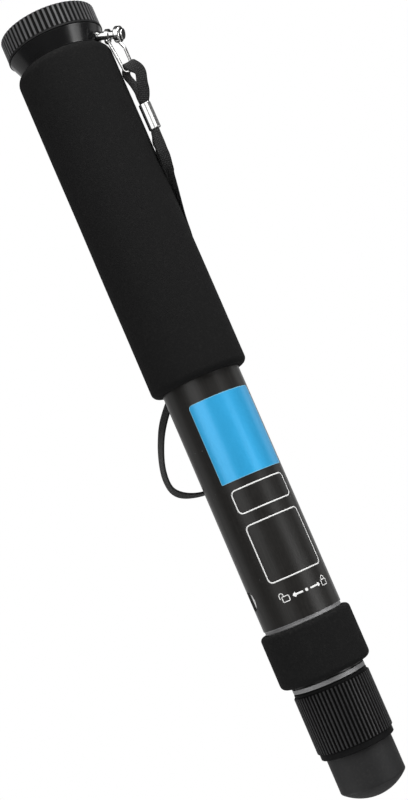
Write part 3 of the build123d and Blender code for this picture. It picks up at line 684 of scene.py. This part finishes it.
# %% The long loop
loop_rows = [
    (strap_point(CRIMP_REACH, -0.55, CRIMP_BOTTOM), (0.951, -0.309)),
    (strap_point(26.7, -1.1, -77.0), (0.951, -0.309)),
    (strap_point(26.6, -0.4, -79.0), (0.951, -0.309)),
    (strap_point(25.4, 1.2, -84.4), (0.85, -0.53)),
    (strap_point(24.5, 3.0, -86.0), (0.60, -0.80)),
    ((22.3, 7.4, -104.9), (0.32, -0.95)),
    ((21.3, 12.4, -113.1), (0.52, -0.85)),
    ((18.7, 20.2, -124.0), (0.73, -0.68)),
    ((16.5, 23.7, -146.0), (0.82, -0.57)),
    ((15.0, 25.2, -168.0), (0.86, -0.51)),
    ((12.5, 25.0, -189.0), (0.89, -0.45)),
    ((6.0, 23.5, -207.0), (0.82, -0.56)),
    ((-5.0, 21.8, -219.5), (0.62, -0.72, -0.25)),
    ((-17.6, 14.0, -222.9), (0.08, -0.97, 0.20)),
    ((-30.5, 8.8, -218.3), (0.38, -0.86, 0.36)),
    ((-32.0, 8.6, -208.0), (0.50, -0.86, 0.02)),
    ((-27.5, 12.0, -193.6), (0.46, -0.84, -0.30)),
    ((-20.8, 19.2, -181.6), (0.64, -0.70, -0.32)),
    ((-8.5, 25.8, -169.0), (0.92, -0.20)),
    ((0.5, 27.5, -152.0), (1.0, -0.06)),
    ((8.0, 26.0, -133.0), (0.956, -0.294)),
    ((15.0, 21.2, -112.5), (0.81, -0.58)),
    ((21.9, 10.8, -96.0), (0.35, -0.94)),
    (strap_point(23.1, 3.3, -86.0), (-0.17, -0.985)),
    (strap_point(23.1, 2.5, -75.5), (-0.15, -0.988)),
    (strap_point(24.3, 1.6, -70.5), (0.50, -0.87)),
    (strap_point(CRIMP_REACH, 0.55, CRIMP_BOTTOM), (0.951, -0.309))]
places, ways = zip(*loop_rows)
widths = [4.0, 4.8, *[TAPE_WIDTH] * (len(loop_rows) - 4), 4.6, 4.0]    # drawn in at the clamp
loop_path = smooth_path("loop_path", places, 16)
ways = [Vector(way).to_3d() for way in ways]
loop, loop_length = tape_piece("wrist_strap_tape", loop_path, ways, widths,
                               [TAPE_THICKNESS] * len(loop_rows))
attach(loop, "strap")
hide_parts("wrist_strap")
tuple(loop_path[0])
print("loop length", round(loop_length / MM, 2), "mm")

# %% [markdown]
# ## Foam grip and foam band
# Both are thick tubes of closed-cell foam with rounded ends. A lathe profile gives the form, and a
# very slight swell keeps the long sides from being ruler-straight, as on foam that was handled.

# %% Foam pieces
def foam_swell(angle, height):
    """A soft unevenness of a tenth of a millimetre."""
    return 0.12 * noise.noise(Vector((math.sin(angle) * 1.3, math.cos(angle) * 1.3, height * 0.03)))


def foam_tube(name, outer, bore, bottom, top, bottom_round, top_round, body, node):
    """A foam sleeve with round outer edges. A top rounding wider than the wall ends at the bore."""
    past_bore = bore - (outer - top_round)
    if past_bore > 0:
        profile, first = [], math.degrees(math.acos(past_bore / top_round))
    else:
        profile, first = [(bore, top), *straight((bore, top), (outer - top_round, top), 3)], 90
    profile += arc(outer - top_round, top - top_round, top_round, first, 0)
    profile += straight((outer, top - top_round), (outer, bottom + bottom_round), 24)
    profile += arc(outer - bottom_round, bottom + bottom_round, bottom_round, 0, -90)
    profile += [*straight((outer - bottom_round, bottom), (bore, bottom), 3), (bore, bottom)]
    piece = turned_piece(name, profile, "grip_foam", 128, lambda angle, radius, height:
                         foam_swell(angle, height) if radius > bore + 0.001 else 0.0)
    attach(piece, body)
    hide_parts(node)
    print(name, "faces", len(piece.data.polygons))


foam_tube("foam_grip_sleeve", 22.4, 18.02, -176.8, -18.82, 3.0, 5.0, "root", "foam_grip")
foam_tube("foam_band_sleeve", 20.7, 18.0, -313.85, -289.45, 2.5, 2.0, "collar_1", "lock_1_band")

# %% [markdown]
# ## Top pad
# The camera rests on a rubber ring. Its body is turned like the foam, and its face carries small
# round pips in staggered rings. Geometry Nodes place them: a row of points is bent into rings by
# its index, and one low dome is set on each point.

# %% Pad body
pad_body = turned_piece("platform_pad_ring", [
    (7.6, -0.35), *arc(8.0, -0.65, 0.4, 180, 90, 4), *arc(19.0, -0.75, 0.5, 90, 0, 6), (19.5, -2.0),
    (7.6, -2.0)], "pad_rubber", 120)
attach(pad_body, "wheel")
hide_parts("platform_pad")
print("pad ring faces", len(pad_body.data.polygons))

# %% Node trees that make geometry
def geometry_tree(name, inputs):
    """A Geometry Nodes tree with a geometry input and output and further named inputs."""
    return new_group(name, {"Geometry": GEOMETRY, **inputs}, {"Geometry": GEOMETRY},
                     "GeometryNodeTree")


def swept(tree, curve, radius):
    """A round cord along a curve."""
    nib = place_node(tree, "GeometryNodeCurvePrimitiveCircle", {"Resolution": 8, "Radius": radius})
    return place_node(tree, "GeometryNodeCurveToMesh", {
        "Curve": curve, "Profile Curve": nib.outputs[0], "Fill Caps": True}).outputs[0]


def end_tree(tree, geometry, given, result):
    """Ends a tree: makes its geometry real and gives it its finish."""
    solid = place_node(tree, "GeometryNodeRealizeInstances", {0: geometry})
    painted = place_node(tree, "GeometryNodeSetMaterial", {
        0: solid.outputs[0], "Material": given["Finish"]})
    tree.links.new(painted.outputs[0], result[0])


def bake_nodes(piece, tree, values):
    """Runs the tree on the piece, with these input values, and keeps the plain mesh."""
    modifier = piece.modifiers.new(tree.name, "NODES")
    modifier.node_group = tree
    for item in tree.interface.items_tree:
        if item.in_out == "INPUT" and item.name in values:
            modifier[item.identifier] = values[item.name]
    bpy.context.view_layer.update()
    graph = bpy.context.evaluated_depsgraph_get()
    piece_mesh = bpy.data.meshes.new_from_object(piece.evaluated_get(graph))
    piece.modifiers.remove(modifier)
    piece.data = piece_mesh
    for face in piece_mesh.polygons:
        face.use_smooth = True


print("geometry tree helpers ready")

# %% Pips of the pad
pips, given, result = geometry_tree("pad_pips", {
    "Rings": 6, "Pips In Ring": 40, "First Radius": 9.2 * MM, "Ring Step": 1.75 * MM,
    "Pip Radius": 0.45 * MM, "Pip Height": 0.25 * MM, "Foot Height": -0.25 * MM,
    "Finish": MATERIAL})
index = place_node(pips, "GeometryNodeInputIndex").outputs[0]
in_ring = given["Pips In Ring"]
ring = maths(pips, "FLOOR", maths(pips, "DIVIDE", index, in_ring))
stagger = times(pips, ring, 0.5)
angle = times(pips, maths(pips, "DIVIDE", maths(pips, "ADD", index, stagger), in_ring),
              2 * math.pi)
ring_radius = maths(pips, "MULTIPLY_ADD", ring, given["Ring Step"], given["First Radius"])
spot = joined(pips, X=times(pips, ring_radius, maths(pips, "SINE", angle)),
              Y=times(pips, ring_radius, maths(pips, "COSINE", angle)),
              Z=given["Foot Height"])
points = place_node(pips, "GeometryNodePoints", {
    "Count": times(pips, given["Rings"], in_ring), "Position": spot})
dome = place_node(pips, "GeometryNodeMeshUVSphere", {"Segments": 8, "Rings": 5, "Radius": 1.0})
size = joined(pips, X=given["Pip Radius"], Y=given["Pip Radius"], Z=given["Pip Height"])
placed = place_node(pips, "GeometryNodeInstanceOnPoints", {
    "Points": points.outputs[0], "Instance": dome.outputs["Mesh"], "Scale": size})
end_tree(pips, placed.outputs[0], given, result)

pad_pips = mesh_piece("platform_pad_pips", [], [])
bake_nodes(pad_pips, pips, {"Finish": finishes["pad_rubber"]})
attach(pad_pips, "wheel")
print("pips", len(pad_pips.data.polygons), "faces")

# %% [markdown]
# ## Camera stud
# The stud is a turned steel bolt whose top is a standard quarter-inch thread. Its core is a lathe
# profile at the thread's root, and a rounded ridge is swept along a spiral by Geometry Nodes.

# %% Stud core
THREAD_RADIUS, THREAD_PITCH, THREAD_DEPTH = 3.175, 1.27, 0.78
thread_root = THREAD_RADIUS - THREAD_DEPTH
stud_core = turned_piece("camera_stud_core", [
    (0, 5.5), (thread_root - 0.25, 5.5), (thread_root + 0.1, 5.15), (thread_root, 4.8),
    (thread_root, 0.0), (4.55, 0.0), (4.7625, -0.22), (4.7625, -18.7), (8.0, -18.7), (8.0, -21.3),
    (7.6, -21.7), (0, -21.7)], "stud_steel", 64)
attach(stud_core, "root")
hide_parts("camera_stud")
print("stud core faces", len(stud_core.data.polygons))

# %% Thread ridge
THREAD_TURNS, RIDGE = 3.45, 0.42
ridge_tree, given, result = geometry_tree("thread_ridge", {
    "Turns": THREAD_TURNS, "Radius": (THREAD_RADIUS - RIDGE) * MM,
    "Height": THREAD_TURNS * THREAD_PITCH * MM, "Ridge": RIDGE * MM, "Foot Height": RIDGE * MM,
    "Finish": MATERIAL})
spiral = place_node(ridge_tree, "GeometryNodeCurveSpiral", {
    "Resolution": 36, "Rotations": given["Turns"], "Start Radius": given["Radius"],
    "End Radius": given["Radius"], "Height": given["Height"]})
raised = place_node(ridge_tree, "GeometryNodeSetPosition", {
    "Geometry": spiral.outputs[0], "Offset": joined(ridge_tree, Z=given["Foot Height"])})
end_tree(ridge_tree, swept(ridge_tree, raised.outputs[0], given["Ridge"]), given, result)

ridge_piece = mesh_piece("camera_stud_thread", [], [])
bake_nodes(ridge_piece, ridge_tree, {"Finish": finishes["stud_steel"]})
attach(ridge_piece, "root")
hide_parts("camera_stud")
print("thread faces", len(ridge_piece.data.polygons))

# %% [markdown]
# ## Label and printed marks
# They lie on the tube, so both are drawn flat, in millimetres of arc and of height, and one small
# node group bends them round the tube. Lines are swept as round cords and pressed nearly flat,
# which gives ink a real, slightly raised edge. The two frames are empty, and the row under them
# shows with arrows and padlocks which way the collar opens and closes.

# %% Bend flat work round the tube
TUBE_RADIUS = 18.0
BEND = {"Radius": TUBE_RADIUS * MM, "Rise": 0.0, "Flatten": 1.0}
wrap, given, result = new_group("wrap_round_tube", BEND, {"Position": VECTOR}, "GeometryNodeTree")
x, y, z = split(wrap, place_node(wrap, "GeometryNodeInputPosition").outputs[0])
angle = maths(wrap, "DIVIDE", x, given["Radius"])
reach = maths(wrap, "ADD", maths(wrap, "MULTIPLY_ADD", z, given["Flatten"], given["Rise"]),
              given["Radius"])
forwards = times(wrap, reach, maths(wrap, "COSINE", angle))
bent = joined(wrap, X=times(wrap, reach, maths(wrap, "SINE", angle)),
              Y=times(wrap, forwards, -1.0), Z=y)
wrap.links.new(bent, result[0])


def wrapped(tree, geometry, given, result):
    """Ends a tree: bends its geometry round the tube and gives it its finish."""
    place = place_node(tree, "GeometryNodeGroup", {title: given[title] for title in BEND},
                       node_tree=wrap)
    moved = place_node(tree, "GeometryNodeSetPosition", {
        "Geometry": geometry, "Position": place.outputs[0]})
    end_tree(tree, moved.outputs[0], given, result)


film_tree, given, result = geometry_tree("wrapped_film", {**BEND, "Finish": MATERIAL})
wrapped(film_tree, given[0], given, result)

line_tree, given, result = geometry_tree("wrapped_line", {
    **BEND, "Finish": MATERIAL, "Line Width": 0.0006})
outline = place_node(line_tree, "GeometryNodeMeshToCurve", {0: given[0]})
stepped = place_node(line_tree, "GeometryNodeResampleCurve", {
    "Curve": outline.outputs[0], "Length": 0.0004}, mode="LENGTH")
half_width = times(line_tree, given["Line Width"], 0.5)
wrapped(line_tree, swept(line_tree, stepped.outputs[0], half_width), given, result)
print("trees", film_tree.name, line_tree.name)

# %% Outlines in arc and height
def on_tube(azimuth, height):
    """Flat place, in metres, of a spot given by azimuth and height."""
    return Vector((math.radians(azimuth) * TUBE_RADIUS * MM, height * MM, 0.0))


def rounded_frame(first, last, bottom, top, corner, lower_corner=None):
    """Points of a closed frame with round corners, between two azimuths and two heights."""
    low, high = on_tube(first, bottom), on_tube(last, top)
    upper = corner * MM
    lower = upper if lower_corner is None else lower_corner * MM
    found = []
    for cx, cy, r, start in ((high.x - upper, high.y - upper, upper, 0),
                             (low.x + upper, high.y - upper, upper, 90),
                             (low.x + lower, low.y + lower, lower, 180),
                             (high.x - lower, low.y + lower, lower, 270)):
        for k in range(7):
            a = math.radians(start + 15 * k)
            found.append(Vector((cx + r * math.cos(a), cy + r * math.sin(a), 0.0)))
    return found


def drawn(name, strokes, line_width, finish="white_ink", rise=0.0):
    """Strokes are (points, closed). They become one mesh of lines on the tube."""
    points, edges = [], []
    for stroke, closed in strokes:
        start = len(points)
        points += stroke
        edges += [(start + i, start + i + 1) for i in range(len(stroke) - 1)]
        if closed:
            edges.append((start + len(stroke) - 1, start))
    piece = mesh_piece(name, points, [], edges)
    bake_nodes(piece, line_tree, {"Rise": rise * MM, "Flatten": 0.12, "Finish": finishes[finish],
                                  "Line Width": line_width * MM})
    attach(piece, "root")
    print(name, "faces", len(piece.data.polygons))


print("outline helpers ready")

# %% Label film
LABEL = (-30.2, 74.0, -223.3, -186.7)
LABEL_CORNERS = (1.5, 0.3)    # upper and lower
LABEL_FACES = (0.05, 0.2)     # above the tube
LABEL_ROWS = 12


def label_film():
    """A thin plate with round corners, flat, with rows fine enough to bend."""
    low, high = on_tube(LABEL[0], LABEL[2]), on_tube(LABEL[1], LABEL[3])
    width = high.x - low.x
    upper, lower = (corner * MM for corner in LABEL_CORNERS)
    ends = [upper * (1 - math.cos(math.radians(10 * k))) for k in range(9)]
    middle = [upper + (width - 2 * upper) * k / 60 for k in range(61)]
    columns = ends + middle + [width - d for d in reversed(ends)]

    def cut_at(inset, corner):
        return corner - math.sqrt(corner ** 2 - (corner - inset) ** 2) if inset < corner else 0.0

    points, faces = [], []
    for d in columns:
        inset = min(d, width - d)
        top, bottom = high.y - cut_at(inset, upper), low.y + cut_at(inset, lower)
        rows = [bottom + (top - bottom) * k / LABEL_ROWS for k in range(LABEL_ROWS + 1)]
        points += [Vector((low.x + d, y, z * MM)) for z in LABEL_FACES for y in rows]
    side = LABEL_ROWS + 1
    starts = [2 * side * i for i in range(len(columns))]
    for a, b in zip(starts, starts[1:]):
        for k in range(LABEL_ROWS):
            faces.append((a + k, a + k + 1, b + k + 1, b + k))
            faces.append((a + side + k, b + side + k, b + side + k + 1, a + side + k + 1))
        faces.append((a, b, b + side, a + side))
        faces.append((a + side - 1, a + 2 * side - 1, b + 2 * side - 1, b + side - 1))
    for a in (starts[0], starts[-1]):
        faces += [(a + k, a + k + 1, a + side + k + 1, a + side + k) for k in range(LABEL_ROWS)]
    return mesh_piece("label_film", points, faces)


label = label_film()
bake_nodes(label, film_tree, {"Finish": finishes["label_blue"]})
face_outwards(label)
label.data.set_sharp_from_angle(angle=math.radians(40))
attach(label, "root")
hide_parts("colour_label")
drawn("label_rim", [(rounded_frame(*LABEL, *LABEL_CORNERS), True)], 0.30, "label_edge",
      0.19)
print("label faces", len(label.data.polygons))

# %% Printed frames and lock marks
FRAME_LINE, ROW = 0.58, -277.3
drawn("print_small_frame", [(rounded_frame(-23.5, 63.3, -237.7, -227.3, 2.2), True)], FRAME_LINE)
drawn("print_large_frame", [(rounded_frame(-23.5, 63.3, -269.3, -243.2, 2.0), True)], FRAME_LINE)


def shackle(first, last, foot_left, foot_right, top):
    """An upside-down U between two azimuths."""
    left, right = on_tube(first, foot_left), on_tube(last, foot_right)
    half = (right.x - left.x) / 2
    bend = [Vector((left.x + half - half * math.cos(math.pi * k / 8),
                    top * MM - half + half * math.sin(math.pi * k / 8), 0.0)) for k in range(9)]
    return [left, *bend, right]


drawn("print_padlocks", [
    (rounded_frame(-15.4, -5.6, ROW - 1.3, ROW + 1.1, 0.3), True),
    (shackle(-18.4, -12.6, ROW + 0.4, ROW + 1.1, ROW + 2.7), False),
    (rounded_frame(47.2, 57.6, ROW - 1.3, ROW + 1.1, 0.3), True),
    (shackle(49.4, 55.4, ROW + 1.1, ROW + 1.1, ROW + 2.8), False)], 0.38)
drawn("print_arrows", [
    ([on_tube(2.0, ROW), on_tube(14.6, ROW)], False),
    ([on_tube(26.2, ROW), on_tube(40.4, ROW)], False)], 0.80)
drawn("print_arrow_heads", [
    ([on_tube(3.4, ROW + 0.75), on_tube(0.4, ROW), on_tube(3.4, ROW - 0.75)], True),
    ([on_tube(39.6, ROW + 0.65), on_tube(42.4, ROW), on_tube(39.6, ROW - 0.65)], True),
    ([on_tube(20.3 + 1.3 * math.cos(k * math.pi / 4), ROW + 0.41 * math.sin(k * math.pi / 4))
      for k in range(8)], True)], 0.75)
print("printed marks done")

# %% [markdown]
# ## Floor and light
# The floor lies where the foot comes down to with all tubes out, and glows for the camera only.
# Light is a plain soft studio of nine panels. The largest, behind the pole, and one behind on each
# side brighten its outlines. A tall one at the left front draws the long highlight down the tubes,
# and two at the right front the second. A small one lies low at the left, and two hang high.
# The world looks white, but lights the object only dimly, so that its blacks stay deep.

# %% Floor
FLOOR_HEIGHT, FLOOR_RADIUS, FLOOR_GLOW = -1.5045, 4000.0, 0.85
pale = Finish("pale_floor", 0.80, 0.84, 0.6, 4.0, 0.02)
seen = place_node(pale.tree, "ShaderNodeLightPath").outputs["Is Camera Ray"]
pale.tree.links.new(times(pale.tree, seen, FLOOR_GLOW), pale.shader["Emission Strength"])
pale.shader["Emission Color"].default_value = (1.0, 1.0, 1.0, 1.0)
pale.done()
floor = turned_piece("studio_floor", [
    (0, 0), (FLOOR_RADIUS, 0.0), (FLOOR_RADIUS, -5.0), (0, -5.0)], "pale_floor")
floor.data.transform(Matrix.Translation((0.0, 0.0, FLOOR_HEIGHT)))
print("floor at", FLOOR_HEIGHT)

# %% World and lamps
AMBIENT = 0.12
world = bpy.data.worlds.new("studio_white")
world.use_nodes = True
world_tree = world.node_tree
backdrop = world_tree.nodes["Background"].inputs
backdrop["Color"].default_value = (1.0, 1.0, 1.0, 1.0)
seen = place_node(world_tree, "ShaderNodeLightPath").outputs["Is Camera Ray"]
world_tree.links.new(maths(world_tree, "MULTIPLY_ADD", seen, 1.0 - AMBIENT, AMBIENT),
                     backdrop["Strength"])
bpy.context.scene.world = world


def softbox(name, azimuth, distance, height, width, tall, watts, aim_height=-0.19):
    """A rectangular area lamp round the pole, aimed at its axis. Cameras don't see it."""
    data = bpy.data.lights.new(name, "AREA")
    data.shape = "RECTANGLE"
    data.size, data.size_y, data.energy = width, tall, watts
    lamp = bpy.data.objects.new(name, data)
    turn = math.radians(azimuth)
    place = Vector((math.sin(turn) * distance, -math.cos(turn) * distance, height))
    aim = Vector((0.0, 0.0, aim_height)) - place
    turned = aim.to_track_quat("-Z", "Y").to_matrix().to_4x4()
    lamp.matrix_world = Matrix.Translation(place) @ turned
    lamp.visible_camera = False
    bpy.context.scene.collection.objects.link(lamp)


for row in (("back_panel", 178, 1.8, -0.2, 2.6, 2.2, 10.0),
            ("left_back_panel", -118, 1.6, -0.2, 1.4, 1.4, 1.9),
            ("left_panel", -30, 2.5, 0.62, 1.7, 2.0, 15.0),
            ("left_high_panel", -50, 1.0, 1.0, 1.0, 1.0, 5.0),
            ("left_low_panel", -80, 0.35, -0.58, 0.15, 0.15, 0.6, -0.28),
            ("right_panel", 50, 1.4, -0.26, 0.40, 0.40, 0.65),
            ("right_low_panel", 63, 1.4, -0.72, 0.70, 0.5, 5.1),
            ("right_side_panel", 118, 1.4, 0.0, 0.6, 1.2, 1.15),
            ("right_high_panel", 35, 1.0, 1.0, 1.0, 1.0, 25.0)):
    softbox(*row)
print("lamps", len(bpy.data.lights))
